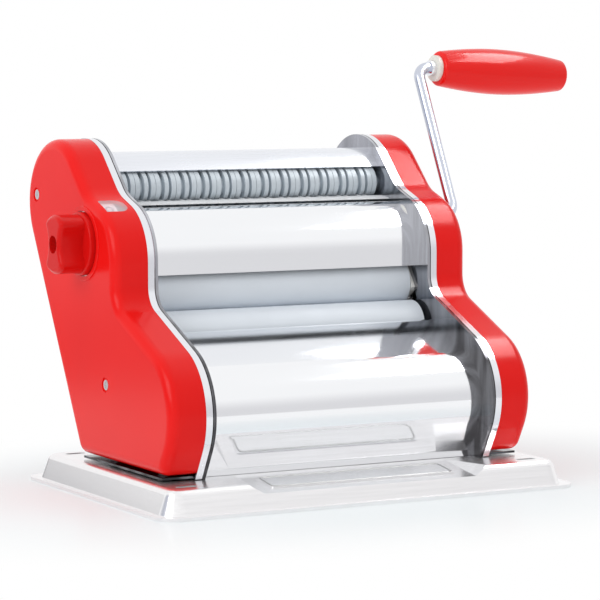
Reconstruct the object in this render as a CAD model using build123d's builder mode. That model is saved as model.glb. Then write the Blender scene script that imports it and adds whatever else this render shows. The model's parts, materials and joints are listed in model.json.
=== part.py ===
from build123d import *
from math import acos, atan2, cos, degrees, hypot, pi, radians, sin, sqrt, tan
import os

# Pasta roller machine: a pair of sheet rollers with an adjustable gap, a wide and a narrow cutter
# pair, and one crank that turns them all through spur gears in the two side compartments.
# Frame: origin at the middle of the base's footprint on the table, +X along the rollers to the
# crank, -Y to the front, +Z up. Lengths are in millimetres, angles in degrees unless said.

os.makedirs("parts", exist_ok=True)

# ---- Driving dimensions ----------------------------------------------------------------------

# rollers
ROLLER_LENGTH = 200.0
ROLLER_RADIUS = 17.25
ROLLER_END_GAP = 3.0
NIP_ANGLE = 55.5  # direction from the fixed to the movable roller, above +Y
GAP_TRAVEL = 3.0  # how far the movable roller opens
FIXED_SHAFT_RADIUS = 7.0
MOVABLE_SHAFT_RADIUS = 6.0
RUN_CLEARANCE = 0.05  # radial, wherever something turns in a bore

# frame
SHEET = 1.2
PLATE_THICKNESS = 2.0
TRIM_GAP = 0.6  # shadow gap between a side plate and its trim strip
TRIM_WIDTH = 4.6
TRIM_THICKNESS = 1.5
COVER_DEPTH = 24.6
COVER_WALL = 2.2
COVER_ROUND = 7.0
COVER_INSET = 0.4  # a cover's face below the trim strip's
COVER_LIFT = 4.0  # cover's lower edge above the deck
TRIM_LIFT = 0.6  # trim strip's ends above the deck
COVER_FOOT_ROUND = 9.0
SHELF_LIFT = 1.2
SHELF_THICKNESS = 1.4
SHELF_MARGIN = 4.0  # how much shorter than the plate's foot the shelf is
TRIM_END = 1.2  # trim strip's end opening inside a foot corner, in strip thicknesses

# base
DECK_HEIGHT = 18.0
BASE_MARGIN_X = 19.4  # flange beyond a cover's outer face
BASE_DEPTH = 216.0
FLANGE_WIDTH = 5.0
FLANGE_HEIGHT = 2.4
BASE_CORNER = 14.0
BASE_DRAFT = 20.0
DECK_ROUND = 5.0
RECESS_DEPTH = 6.0
RECESS_LENGTH = 157.0
RECESS_END_SLOPE = 11.0
RECESS_BACK = -57.0
RECESS_SETBACK = 10.0  # recess from the base's front edge
MOUNT_SLOT_LENGTH = 14.0
MOUNT_SLOT_RADIUS = 2.5
MOUNT_SLOT_Y = 84.5
MOUNT_SLOT_INSET = 8.0  # slot's middle inside a cover's outer face
FOOT_RADIUS = 9.0
FOOT_INSET = 20.0  # foot's axis inside a cover's outer face
FOOT_FROM_SLOT = 18.0  # foot's axis from its mounting slot, towards the middle

# heights are above the deck from here on; a place is (Y, height above the deck)
BODY_CORNERS = [  # (Y, height, rounding) of the side outline, from the front foot over the top
    (-64.0, 0.0, 0.0),
    (-98.1, 61.3, 44.5),
    (3.5, 108.0, 17.0),
    (3.5, 161.2, 39.0),
    (47.2, 177.2, 30.0),
    (83.0, 213.0, 44.0),
    (177.0, 213.0, 44.0),
    (59.0, 0.0, 0.0),
]
LOWER_COVER_CORNERS = [(-54.0, 0.2, 0.0), (-53.7, 4.0, 1.5), (-79.3, 57.0, 33.0), (1.3, 87.9, 0.0)]
UPPER_COVER_CORNERS = [(20.8, 124.0, 0.0), (20.8, 167.3, 31.5), (71.0, 167.5, 2.0), (80.5, 160.0, 0.0)]
FRONT_TOP_CORNERS = [(72.0, 191.2, 0.0), (81.9, 203.5, 30.5), (101.5, 203.5, 1.8), (101.5, 187.0, 0.0)]
REAR_TOP_CORNERS = [(114.5, 187.0, 0.0), (114.5, 202.8, 1.5), (142.0, 195.9, 33.0), (142.0, 168.0, 0.0)]
REAR_COVER_ENDS = [(124.2, 130.0), (90.9, 70.0)]
REAR_APRON_ENDS = [(52.8, 1.0), (67.0, 27.0)]
TIE_RODS = [(-45.0, 27.0), (58.0, 30.0), (72.0, 140.0)]
COVER_POSTS = [(18.2, 53.9), (128.6, 174.1)]
FIXED_ROLLER = (19.0, 83.0)
CRANK_AXIS = (38.8, 157.2)
KNOB_AXIS = (50.8, 144.9)

# gears: module 1.5 in the trains, 2.5 with long teeth between the two sheet rollers
TRAIN_MODULE = 1.5
ROLLER_MODULE = 2.5
PRESSURE = radians(20.0)
BACKLASH = 0.12  # taken off each tooth's thickness
TRAIN_ADDENDUM = 0.9  # tooth height above the pitch circle, in modules
ROLLER_ADDENDUM = 1.0
TEETH_ROLLER = 14
TEETH_DRIVE = 14
TEETH_ROLLER_IDLER = 44
TEETH_ROLLER_DRIVEN = 30
TEETH_CUTTER_IDLER = 20
TEETH_WIDE = 15
TEETH_NARROW = 14
TEETH_TRANSFER = 18
GEAR_WIDTH = 6.0
INNER_GEARS = 7.0  # inner gear layer, from the plate's inner face
OUTER_GEARS = 15.0  # outer gear layer, from the plate's inner face
SHAFT_RADIUS = 4.0

# cutters
CUTTER_OVERLAP = 0.5  # how deep one cutter's rings reach between the other's
WIDE_RING = 7.1
WIDE_SPLIT = 0.3  # fine line in the middle of the wide ring
WIDE_SMALL_RING = 2.95
WIDE_SMALL_GAP = 2.1
WIDE_EDGE = 0.4  # last ring's end to the cutter's end
WIDE_PERIODS = 13
NARROW_PERIODS = 50
RING_DEPTH = 4.0
RING_SIDE_CLEARANCE = 0.06
WIDE_LINE_ANGLE = -40.0  # from the front to the rear wide cutter
TRANSFER_ANGLE = -61.9  # from the rear wide to the front narrow cutter
NARROW_LINE_ANGLE = 47.0  # from the front to the rear narrow cutter
COMB_THICKNESS = 1.0

# crank and grip
CRANK_RADIUS = 4.0
CRANK_BEND = 9.0
CRANK_OFFSET = 11.4  # arm's middle beyond the right cover
CRANK_ARM = (51.4, 103.6)  # from the drive shaft to the grip axis, along Y and up
GRIP_DROOP = 3.0
GRIP_GAP = 17.0  # arm's middle to the grip
GRIP_LENGTH = 106.5
GRIP_RADIUS = 16.5
GRIP_END_RADIUS = 12.4
GRIP_EDGE = 2.4

# gap adjuster
ADJUSTER_RADIUS = 5.0
CAM_THICKNESS = 2.0
CAM_RADIUS = 13.0
CAM_SWEEP = 320.0
CAM_CLEARANCE = 0.1
BLOCK_BELOW = 13.0
BLOCK_WIDTH = 24.0
BLOCK_LIP = 4.0
SPRING_SPACE = 8.0
DRUM_RADIUS = 28.2
DRUM_WIDTH = 11.0
DRUM_SUNK = 6.0  # drum behind the cover's outer face
KNOB_SKIRT_RADIUS = 21.0
KNOB_GRIP_RADIUS = 19.6
KNOB_SKIRT = 4.8
KNOB_REACH = 22.2  # beyond the cover's outer face
KNOB_SUNK = 3.4  # skirt inside the cover's outer face
KNOB_HOLE_RADIUS = 6.0
KNOB_GAP = 0.9
WINDOW_LENGTH = 17.0
WINDOW_WIDTH = 16.5
WINDOW_DROP = 10.0  # window's middle in front of the place nearest to the knob's axis

# fastenings and bushes
ROLLER_BUSH_RADIUS = 10.0
ADJUSTER_BUSH_RADIUS = 6.8
CUTTER_BUSH_RADIUS = 6.5
DRIVE_BUSH_RADIUS = 8.0
DRIVE_SHAFT_RADIUS = 6.0
IDLER_SHOULDER_RADIUS = 5.5
BUSH_PROUD = 2.0  # a bush beyond the plate's outer face
TIE_ROD_RADIUS = 5.0
TIE_STUD_RADIUS = 3.0
TIE_NUT = 4.4
FOOT_SCREW_STEP = 15.0  # a foot screw's axis beyond a plate's inner face
FOOT_SCREW_Y = 36.0
FOOT_SCREW_RADIUS = 2.4
FOOT_SCREW_LENGTH = 9.0
FOOT_SCREW_HEAD = 1.2
COVER_POST_RADIUS = 3.6
COVER_SCREW_RADIUS = 3.4
COVER_SCREW_REACH = 8.0

# small pieces
NAME_PLATE_LENGTH = 136.0
NAME_PLATE_WIDTH = 22.0
NAME_PLATE_THICKNESS = 0.8
NAME_PLATE_CORNER = 1.5
NAME_PLATE_SETBACK = 30.0  # plate's middle from the base's front edge
SPRING_PITCH = 2.2
SPRING_WIRE = 0.6
SPRING_RADIUS = 2.6
GUIDE_GAP = 0.6
GUIDE_DEPTH = 16.0
COMB_CLEARANCE = 0.3
COMB_FINGER_GAP = 0.3
COMB_BAR_GAP = 1.0
WIDE_FRONT_COMB = (56.5, DECK_HEIGHT + 169.2)
WIDE_REAR_COMB = (84.0, DECK_HEIGHT + 148.0)
NARROW_FRONT_COMB = (123.0, DECK_HEIGHT + 133.5)
NARROW_REAR_COMB = (141.0, DECK_HEIGHT + 142.0)
COLLAR_RADIUS = 5.6
WASHER_RADIUS = 9.4
GRIP_SCREW_DEPTH = 7.0
GRIP_SCREW_BORE = 6.6
CAM_STEPS = 40
KNOB_HOLE_DEPTH = 10.0
KNOB_EDGE = 3.2
KNOB_CORNER = 4.0
KNOB_BAR = 18.0
KNOB_SCOOP = 20.0
KNOB_BOSS = 3.0  # width of the raised ring around the knob
KNOB_BOSS_RISE = 1.0
SCREW_RECESS = 1.5  # width of the sunk ring around a cover screw
SCREW_RECESS_DEPTH = 1.0
WINDOW_START = 3.3
WINDOW_CORNER = 1.2
WINDOW_INNER_CORNER = 6.5

# ---- Places worked out from the driving dimensions -------------------------------------------

PLATE_X = ROLLER_LENGTH / 2 + ROLLER_END_GAP
PLATE_OUT = PLATE_X + PLATE_THICKNESS
FOOT_SCREW_X = PLATE_X + FOOT_SCREW_STEP
TRIM_X = PLATE_OUT + TRIM_GAP
COVER_X = TRIM_X + TRIM_WIDTH
COVER_OUT = COVER_X + COVER_DEPTH
COVER_IN = COVER_OUT - COVER_WALL
BASE_LENGTH = 2 * (COVER_OUT + BASE_MARGIN_X)
INNER_GEAR_X = PLATE_X + INNER_GEARS
OUTER_GEAR_X = PLATE_X + OUTER_GEARS
ROLLER_PITCH = ROLLER_MODULE * TEETH_ROLLER
CUTTER_RADIUS = (TRAIN_MODULE * TEETH_WIDE + CUTTER_OVERLAP) / 2
NARROW_RADIUS = (TRAIN_MODULE * TEETH_NARROW + CUTTER_OVERLAP) / 2
CLEAR_SHAFT = SHAFT_RADIUS + RUN_CLEARANCE


def at_height(place):
    """A (Y, height above the deck) place as (Y, Z)."""
    return (place[0], place[1] + DECK_HEIGHT)


def moved(place, distance, angle):
    """The place at a distance from another, in a direction above +Y."""
    turn = radians(angle)
    return (place[0] + distance * cos(turn), place[1] + distance * sin(turn))


def direction(start, end):
    """Angle above +Y of the line from one place to another."""
    return degrees(atan2(end[1] - start[1], end[0] - start[0]))


def meeting_place(first, first_reach, second, second_reach, side):
    """Where circles of two reaches cross, on the left (+1) or right (-1) of first to second."""
    apart = hypot(second[0] - first[0], second[1] - first[1])
    along = (first_reach**2 - second_reach**2 + apart**2) / (2 * apart)
    across = sqrt(first_reach**2 - along**2)
    line = direction(first, second)
    return moved(moved(first, along, line), across, line + side * 90)


def centre_distance(teeth, other_teeth):
    """Centre distance of two gears of the trains."""
    return TRAIN_MODULE * (teeth + other_teeth) / 2


CRANK = at_height(CRANK_AXIS)
KNOB = at_height(KNOB_AXIS)
FIXED = at_height(FIXED_ROLLER)
MOVABLE = moved(FIXED, ROLLER_PITCH, NIP_ANGLE)
ROLLER_IDLER = meeting_place(
    FIXED,
    centre_distance(TEETH_ROLLER_DRIVEN, TEETH_ROLLER_IDLER),
    CRANK,
    centre_distance(TEETH_DRIVE, TEETH_ROLLER_IDLER),
    -1,
)
WIDE_FRONT = (79.0, DECK_HEIGHT + 179.8)
CUTTER_IDLER = meeting_place(
    CRANK,
    centre_distance(TEETH_DRIVE, TEETH_CUTTER_IDLER),
    WIDE_FRONT,
    centre_distance(TEETH_CUTTER_IDLER, TEETH_WIDE),
    -1,
)
WIDE_REAR = moved(WIDE_FRONT, TRAIN_MODULE * TEETH_WIDE, WIDE_LINE_ANGLE)
NARROW_FRONT = moved(WIDE_REAR, TRAIN_MODULE * TEETH_TRANSFER, TRANSFER_ANGLE)
NARROW_REAR = moved(NARROW_FRONT, TRAIN_MODULE * TEETH_NARROW, NARROW_LINE_ANGLE)


def side_plane(x):
    """Plane across the machine at x: its local axes are +Y and +Z, its normal is +X."""
    return Plane(origin=(x, 0, 0), x_dir=(0, 1, 0), z_dir=(1, 0, 0))


def finish(piece, name):
    """Label a finished piece and write its STEP file."""
    piece.part.label = name
    export_step(piece.part, "parts/" + name + ".step")


def corner_line(corners):
    """Open line through (Y, height, rounding) corners, as points and the inner corners' radii."""
    points = [at_height(corner) for corner in corners]
    radii = [corner[2] for corner in corners[1:-1]]
    return points, radii


# ---- Shared shapes ---------------------------------------------------------------------------


def body_outline(foot, inset):
    """Side outline of the machine, cut off at a height above the deck and drawn in by an inset."""
    points, radii = corner_line(BODY_CORNERS)
    with BuildSketch() as outline:
        with BuildLine():
            FilletPolyline(*points, radius=radii)
            Line(points[-1], points[0])
        make_face()
        if inset > 0:
            offset(amount=-inset, kind=Kind.INTERSECTION)
        with Locations((0, DECK_HEIGHT + foot)):
            Rectangle(3 * BASE_DEPTH, BASE_DEPTH, align=(Align.CENTER, Align.MAX), mode=Mode.SUBTRACT)
    return outline.sketch


def bent_sheet(corners, thickness, side):
    """Section of a bent sheet whose outer face follows the corners."""
    points, radii = corner_line(corners)
    with BuildSketch() as section:
        with BuildLine():
            FilletPolyline(*points, radius=radii)
            offset(amount=thickness, side=side)
        make_face()
    return section.sketch


def across_machine(section, half_length):
    """A section carried from one side of the machine to the other."""
    with BuildPart() as piece:
        with BuildSketch(side_plane(-half_length)):
            add(section)
        extrude(amount=2 * half_length)
    return piece


def turned(place, stations):
    """Round piece along X at a place, from (start, end, radius) stations."""
    with BuildPart() as piece:
        for start, end, radius in stations:
            with BuildSketch(side_plane(start)):
                with Locations(place):
                    Circle(radius)
            extrude(amount=end - start)
    return piece


def rings_on_shafts(rings):
    """Group of rings along X, each (place, start, end, outer radius, bore radius)."""
    with BuildPart() as group:
        for place, start, end, outer, bore in rings:
            with BuildSketch(side_plane(start)):
                with Locations(place):
                    Circle(outer)
                    Circle(bore, mode=Mode.SUBTRACT)
            extrude(amount=end - start)
    return group


# ---- Gears -----------------------------------------------------------------------------------


def involute(angle):
    return tan(angle) - angle


def tooth_half_angle(module, teeth, radius):
    """Half of a tooth's angle at a radius; constant below the base circle."""
    pitch = module * teeth / 2
    base = pitch * cos(PRESSURE)
    half = (pi * module / 2 - BACKLASH) / (2 * pitch)
    if radius <= base:
        return half + involute(PRESSURE)
    return half + involute(PRESSURE) - involute(acos(base / radius))


def gear_outline(place, module, teeth, turn, addendum):
    """Spur gear outline with involute flanks; one tooth points at the angle turn (radians)."""
    pitch = module * teeth / 2
    root = pitch - 1.25 * module
    tip = pitch + addendum * module
    start = max(root, pitch * cos(PRESSURE))
    step = 2 * pi / teeth

    def rim(radius, angle):
        return (place[0] + radius * cos(angle), place[1] + radius * sin(angle))

    with BuildSketch() as outline:
        with BuildLine():
            for tooth in range(teeth):
                middle = turn + tooth * step
                wide = tooth_half_angle(module, teeth, start)
                half = tooth_half_angle(module, teeth, (start + tip) / 2)
                narrow = tooth_half_angle(module, teeth, tip)
                rise = [(start, middle - wide), ((start + tip) / 2, middle - half), (tip, middle - narrow)]
                fall = [(tip, middle + narrow), ((start + tip) / 2, middle + half), (start, middle + wide)]
                ThreePointArc(*[rim(*point) for point in rise])
                Line(rim(tip, middle - narrow), rim(tip, middle + narrow))
                ThreePointArc(*[rim(*point) for point in fall])
                if start > root:
                    Line(rim(start, middle + wide), rim(root, middle + wide))
                    Line(rim(root, middle + step - wide), rim(start, middle + step - wide))
                Line(rim(root, middle + wide), rim(root, middle + step - wide))
        make_face()
    return outline.sketch


def gear_blank(place, module, teeth, turn, start, width, bore):
    """Spur gear along X with a bore."""
    addendum = ROLLER_ADDENDUM if module == ROLLER_MODULE else TRAIN_ADDENDUM
    outline = gear_outline(place, module, teeth, turn, addendum)
    with BuildPart() as gear:
        with BuildSketch(side_plane(start)):
            add(outline)
            with Locations(place):
                Circle(bore, mode=Mode.SUBTRACT)
        extrude(amount=width)
    return gear


def mesh_turn(place, teeth, turn, other_place, other_teeth):
    """Turn of a gear that puts a gap of it opposite a tooth of the gear it meshes with."""
    line = radians(direction(place, other_place))
    from_tooth = (line - turn) / (2 * pi / teeth)
    return line + pi - (0.5 - from_tooth) * 2 * pi / other_teeth


TURN_DRIVE = 0.0
TURN_ROLLER_IDLER = mesh_turn(CRANK, TEETH_DRIVE, TURN_DRIVE, ROLLER_IDLER, TEETH_ROLLER_IDLER)
TURN_DRIVEN = mesh_turn(ROLLER_IDLER, TEETH_ROLLER_IDLER, TURN_ROLLER_IDLER, FIXED, TEETH_ROLLER_DRIVEN)
TURN_CUTTER_IDLER = mesh_turn(CRANK, TEETH_DRIVE, TURN_DRIVE, CUTTER_IDLER, TEETH_CUTTER_IDLER)
TURN_WIDE_FRONT = mesh_turn(CUTTER_IDLER, TEETH_CUTTER_IDLER, TURN_CUTTER_IDLER, WIDE_FRONT, TEETH_WIDE)
TURN_WIDE_REAR = mesh_turn(WIDE_FRONT, TEETH_WIDE, TURN_WIDE_FRONT, WIDE_REAR, TEETH_WIDE)
TURN_TRANSFER = mesh_turn(WIDE_REAR, TEETH_TRANSFER, 0.0, NARROW_FRONT, TEETH_TRANSFER)
TURN_NARROW_REAR = mesh_turn(NARROW_FRONT, TEETH_NARROW, 0.0, NARROW_REAR, TEETH_NARROW)
TURN_MOVABLE = mesh_turn(FIXED, TEETH_ROLLER, 0.0, MOVABLE, TEETH_ROLLER)

# ---- Base ------------------------------------------------------------------------------------

RECESS_FRONT = RECESS_SETBACK - BASE_DEPTH / 2
NAME_PLATE_Y = NAME_PLATE_SETBACK - BASE_DEPTH / 2
RECESS_FALL = RECESS_DEPTH / (RECESS_BACK - RECESS_FRONT)
SLOT_X = COVER_OUT - MOUNT_SLOT_INSET
FOOT_X = COVER_OUT - FOOT_INSET
FOOT_Y = MOUNT_SLOT_Y - FOOT_FROM_SLOT


def recess_tool(inset):
    """What the sunk front takes away: a floor falling to the front between sloping ends."""
    rise = 2 * RECESS_DEPTH
    half = RECESS_LENGTH / 2
    spread = rise * RECESS_END_SLOPE / RECESS_DEPTH
    bottom = DECK_HEIGHT - inset
    with BuildPart() as tool:
        with BuildSketch(Plane.XZ.offset(-RECESS_BACK)):
            with BuildLine():
                Polyline(
                    (-half, bottom),
                    (half, bottom),
                    (half + spread, bottom + rise),
                    (-half - spread, bottom + rise),
                    close=True,
                )
            make_face()
        extrude(amount=BASE_DEPTH, dir=(0, -1, -RECESS_FALL))
    return tool.part


def base_form(inset):
    """Tapered form of the base, drawn in by an inset on every side and at the top."""
    wall = inset / cos(radians(BASE_DRAFT))
    length = BASE_LENGTH - 2 * FLANGE_WIDTH - 2 * wall
    depth = BASE_DEPTH - 2 * FLANGE_WIDTH - 2 * wall
    with BuildPart() as form:
        with BuildSketch():
            RectangleRounded(length, depth, BASE_CORNER - wall)
        extrude(amount=DECK_HEIGHT - inset, taper=BASE_DRAFT)
        fillet(form.faces().sort_by(Axis.Z)[-1].edges(), DECK_ROUND)
        add(recess_tool(inset), mode=Mode.SUBTRACT)
    return form.part


with BuildPart() as base_tray:
    with BuildSketch():
        RectangleRounded(BASE_LENGTH, BASE_DEPTH, BASE_CORNER)
    extrude(amount=FLANGE_HEIGHT)
    with BuildSketch():
        RectangleRounded(BASE_LENGTH - 2 * SHEET, BASE_DEPTH - 2 * SHEET, BASE_CORNER - SHEET)
    extrude(amount=FLANGE_HEIGHT - SHEET, mode=Mode.SUBTRACT)
    add(base_form(0))
    add(base_form(SHEET), mode=Mode.SUBTRACT)
    with BuildSketch(Plane.XY.offset(DECK_HEIGHT)):
        with GridLocations(2 * SLOT_X, 2 * MOUNT_SLOT_Y, 2, 2):
            SlotOverall(MOUNT_SLOT_LENGTH, 2 * MOUNT_SLOT_RADIUS)
        with GridLocations(2 * FOOT_SCREW_X, 2 * FOOT_SCREW_Y, 2, 2):
            Circle(FOOT_SCREW_RADIUS)
    extrude(amount=-2 * SHEET, mode=Mode.SUBTRACT)
finish(base_tray, "base_tray")

with BuildPart() as base_feet:
    with BuildSketch():
        with GridLocations(2 * FOOT_X, 2 * FOOT_Y, 2, 2):
            Circle(FOOT_RADIUS)
    extrude(amount=DECK_HEIGHT - SHEET)
finish(base_feet, "base_feet")

PLATE_TILT = Plane(
    origin=(0, NAME_PLATE_Y, DECK_HEIGHT - RECESS_FALL * (RECESS_BACK - NAME_PLATE_Y)),
    x_dir=(1, 0, 0),
    z_dir=(0, -RECESS_FALL, 1),
)
with BuildPart() as name_plate:
    with BuildSketch(PLATE_TILT):
        RectangleRounded(NAME_PLATE_LENGTH, NAME_PLATE_WIDTH, NAME_PLATE_CORNER)
    extrude(amount=NAME_PLATE_THICKNESS)
finish(name_plate, "name_plate")

# ---- Side plates, trim strips and what holds them together --------------------------------------

TRAVEL = (cos(radians(NIP_ANGLE)), sin(radians(NIP_ANGLE)))
KNOB_ALONG = (KNOB[0] - MOVABLE[0]) * TRAVEL[0] + (KNOB[1] - MOVABLE[1]) * TRAVEL[1]
BLOCK_ABOVE = KNOB_ALONG - CAM_RADIUS - CAM_CLEARANCE
TONGUE_ABOVE = MOVABLE_SHAFT_RADIUS + 3.5
SLOT_BELOW = BLOCK_BELOW + SPRING_SPACE
SLOT_ABOVE = TONGUE_ABOVE + GAP_TRAVEL + 0.5


def along_travel(place, lowest, highest, width):
    """Sketch of a bar on the line of the movable roller's travel, measured from a place."""
    middle = moved(place, (lowest + highest) / 2, NIP_ANGLE)
    with BuildSketch() as bar:
        with Locations(middle):
            Rectangle(highest - lowest, width, rotation=NIP_ANGLE)
    return bar.sketch


PLATE_HOLES = [
    (FIXED, ROLLER_BUSH_RADIUS),
    (KNOB, ADJUSTER_BUSH_RADIUS),
    (WIDE_FRONT, CUTTER_BUSH_RADIUS),
    (WIDE_REAR, CUTTER_BUSH_RADIUS),
    (NARROW_FRONT, CUTTER_BUSH_RADIUS),
    (NARROW_REAR, CUTTER_BUSH_RADIUS),
]
RIGHT_PLATE_HOLES = [
    (CRANK, DRIVE_BUSH_RADIUS),
    (ROLLER_IDLER, SHAFT_RADIUS),
    (CUTTER_IDLER, SHAFT_RADIUS),
]
FRONT_FOOT_Y = BODY_CORNERS[0][0]
REAR_FOOT_Y = BODY_CORNERS[-1][0]

with BuildPart() as plate_form:
    with BuildSketch(side_plane(PLATE_X)):
        add(body_outline(0, 0))
        for place, radius in PLATE_HOLES:
            with Locations(place):
                Circle(radius, mode=Mode.SUBTRACT)
        for rod in TIE_RODS:
            with Locations(at_height(rod)):
                Circle(TIE_STUD_RADIUS, mode=Mode.SUBTRACT)
    extrude(amount=PLATE_THICKNESS)
    with BuildSketch(side_plane(PLATE_X)):
        add(along_travel(MOVABLE, -SLOT_BELOW, SLOT_ABOVE, BLOCK_WIDTH + 2 * RUN_CLEARANCE))
    extrude(amount=PLATE_THICKNESS, mode=Mode.SUBTRACT)
    shelf_reach = COVER_IN - PLATE_X
    shelf_length = REAR_FOOT_Y - FRONT_FOOT_Y - SHELF_MARGIN
    with Locations((PLATE_X, (FRONT_FOOT_Y + REAR_FOOT_Y) / 2, DECK_HEIGHT + SHELF_LIFT)):
        Box(
            shelf_reach,
            shelf_length,
            SHELF_THICKNESS,
            align=(Align.MIN, Align.CENTER, Align.MIN),
        )
    with BuildSketch(Plane.XY.offset(DECK_HEIGHT + SHELF_LIFT + SHELF_THICKNESS)):
        with GridLocations(2 * FOOT_SCREW_X, 2 * FOOT_SCREW_Y, 2, 2):
            Circle(FOOT_SCREW_RADIUS)
    extrude(amount=-2 * SHELF_THICKNESS, mode=Mode.SUBTRACT)

with BuildPart() as side_plate_right:
    add(plate_form.part)
    with BuildSketch(side_plane(PLATE_X)):
        for place, radius in RIGHT_PLATE_HOLES:
            with Locations(place):
                Circle(radius)
    extrude(amount=PLATE_THICKNESS, mode=Mode.SUBTRACT)
finish(side_plate_right, "side_plate_right")

with BuildPart() as side_plate_left:
    mirror(plate_form.part, about=Plane.YZ)
finish(side_plate_left, "side_plate_left")

with BuildPart() as side_trim_right:
    with BuildSketch(side_plane(TRIM_X)):
        add(body_outline(TRIM_LIFT, 0))
        add(body_outline(TRIM_LIFT, TRIM_THICKNESS), mode=Mode.SUBTRACT)
        with Locations(((FRONT_FOOT_Y + REAR_FOOT_Y) / 2, DECK_HEIGHT)):
            Rectangle(
                REAR_FOOT_Y - FRONT_FOOT_Y - 2 * TRIM_END * TRIM_THICKNESS,
                4 * TRIM_THICKNESS,
                mode=Mode.SUBTRACT,
            )
    extrude(amount=TRIM_WIDTH)
finish(side_trim_right, "side_trim_right")

with BuildPart() as side_trim_left:
    mirror(side_trim_right.part, about=Plane.YZ)
finish(side_trim_left, "side_trim_left")

with BuildPart() as foot_spacers:
    with BuildSketch(Plane.XY.offset(DECK_HEIGHT)):
        with GridLocations(2 * FOOT_SCREW_X, 2 * FOOT_SCREW_Y, 2, 2):
            Circle(2 * FOOT_SCREW_RADIUS)
            Circle(FOOT_SCREW_RADIUS, mode=Mode.SUBTRACT)
    extrude(amount=SHELF_LIFT)
finish(foot_spacers, "foot_spacers")

FOOT_SCREW_TOP = DECK_HEIGHT + SHELF_LIFT + SHELF_THICKNESS
with BuildPart() as foot_screws:
    with BuildSketch(Plane.XY.offset(FOOT_SCREW_TOP)):
        with GridLocations(2 * FOOT_SCREW_X, 2 * FOOT_SCREW_Y, 2, 2):
            Circle(FOOT_SCREW_RADIUS)
    extrude(amount=-FOOT_SCREW_LENGTH)
    with BuildSketch(Plane.XY.offset(FOOT_SCREW_TOP)):
        with GridLocations(2 * FOOT_SCREW_X, 2 * FOOT_SCREW_Y, 2, 2):
            Circle(1.8 * FOOT_SCREW_RADIUS)
    extrude(amount=FOOT_SCREW_HEAD)
finish(foot_screws, "foot_screws")

with BuildPart() as tie_rods:
    for rod in TIE_RODS:
        with BuildSketch(side_plane(-PLATE_X)):
            with Locations(at_height(rod)):
                Circle(TIE_ROD_RADIUS)
        extrude(amount=2 * PLATE_X)
        with BuildSketch(side_plane(-PLATE_OUT - TIE_NUT)):
            with Locations(at_height(rod)):
                Circle(TIE_STUD_RADIUS)
        extrude(amount=2 * (PLATE_OUT + TIE_NUT))
finish(tie_rods, "tie_rods")

with BuildPart() as tie_nuts:
    for start in (-PLATE_OUT - TIE_NUT, PLATE_OUT):
        with BuildSketch(side_plane(start)):
            for rod in TIE_RODS:
                with Locations(at_height(rod)):
                    RegularPolygon(2 * TIE_STUD_RADIUS, 6)
                    Circle(TIE_STUD_RADIUS, mode=Mode.SUBTRACT)
        extrude(amount=TIE_NUT)
finish(tie_nuts, "tie_nuts")

# ---- Sheets between the side plates --------------------------------------------------------------


def slat(ends, thickness):
    """Flat strip across the machine between two (Y, height) ends."""
    first = at_height(ends[0])
    last = at_height(ends[1])
    length = hypot(last[0] - first[0], last[1] - first[1])
    with BuildSketch() as section:
        with Locations(((first[0] + last[0]) / 2, (first[1] + last[1]) / 2)):
            Rectangle(length, thickness, rotation=direction(first, last))
    return section.sketch


lower_front_cover = across_machine(bent_sheet(LOWER_COVER_CORNERS, SHEET, Side.RIGHT), PLATE_X)
finish(lower_front_cover, "lower_front_cover")
upper_front_cover = across_machine(bent_sheet(UPPER_COVER_CORNERS, SHEET, Side.RIGHT), PLATE_X)
finish(upper_front_cover, "upper_front_cover")
front_top_cover = across_machine(bent_sheet(FRONT_TOP_CORNERS, SHEET, Side.RIGHT), PLATE_X)
finish(front_top_cover, "front_top_cover")
rear_top_cover = across_machine(bent_sheet(REAR_TOP_CORNERS, SHEET, Side.RIGHT), PLATE_X)
finish(rear_top_cover, "rear_top_cover")
rear_cover = across_machine(slat(REAR_COVER_ENDS, SHEET), PLATE_X)
finish(rear_cover, "rear_cover")
rear_apron = across_machine(slat(REAR_APRON_ENDS, SHEET), PLATE_X)
finish(rear_apron, "rear_apron")

# ---- Side covers -----------------------------------------------------------------------------


def cover_outline(inset):
    """Side outline of a cover with rounded lower corners, drawn in by an inset."""
    lowest = DECK_HEIGHT + COVER_LIFT + inset
    with BuildSketch() as outline:
        add(body_outline(COVER_LIFT + inset, COVER_INSET + inset))
        low = outline.vertices().filter_by(lambda corner: corner.Y < lowest + 0.01)
        fillet(low, COVER_FOOT_ROUND - inset)
    return outline.sketch


with BuildPart() as cover_hollow:
    with BuildSketch(side_plane(COVER_X)):
        add(cover_outline(COVER_WALL))
    extrude(amount=COVER_DEPTH - COVER_WALL)
    fillet(cover_hollow.faces().sort_by(Axis.X)[-1].edges(), COVER_ROUND - COVER_WALL)

with BuildPart() as cover_form:
    with BuildSketch(side_plane(COVER_X)):
        add(cover_outline(0))
    extrude(amount=COVER_DEPTH)
    fillet(cover_form.faces().sort_by(Axis.X)[-1].edges(), COVER_ROUND)
    add(cover_hollow.part, mode=Mode.SUBTRACT)
    with BuildSketch(side_plane(COVER_IN)):
        for post in COVER_POSTS:
            with Locations(at_height(post)):
                Circle(COVER_SCREW_RADIUS)
    extrude(amount=COVER_WALL, mode=Mode.SUBTRACT)
    with BuildSketch(side_plane(COVER_OUT - SCREW_RECESS_DEPTH)):
        for post in COVER_POSTS:
            with Locations(at_height(post)):
                Circle(COVER_SCREW_RADIUS + SCREW_RECESS)
    extrude(amount=SCREW_RECESS_DEPTH, mode=Mode.SUBTRACT)

with BuildPart() as right_cover:
    add(cover_form.part)
    with BuildSketch(side_plane(COVER_IN)):
        with Locations(CRANK):
            Circle(DRIVE_BUSH_RADIUS)
    extrude(amount=COVER_WALL, mode=Mode.SUBTRACT)
finish(right_cover, "right_cover")

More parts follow.
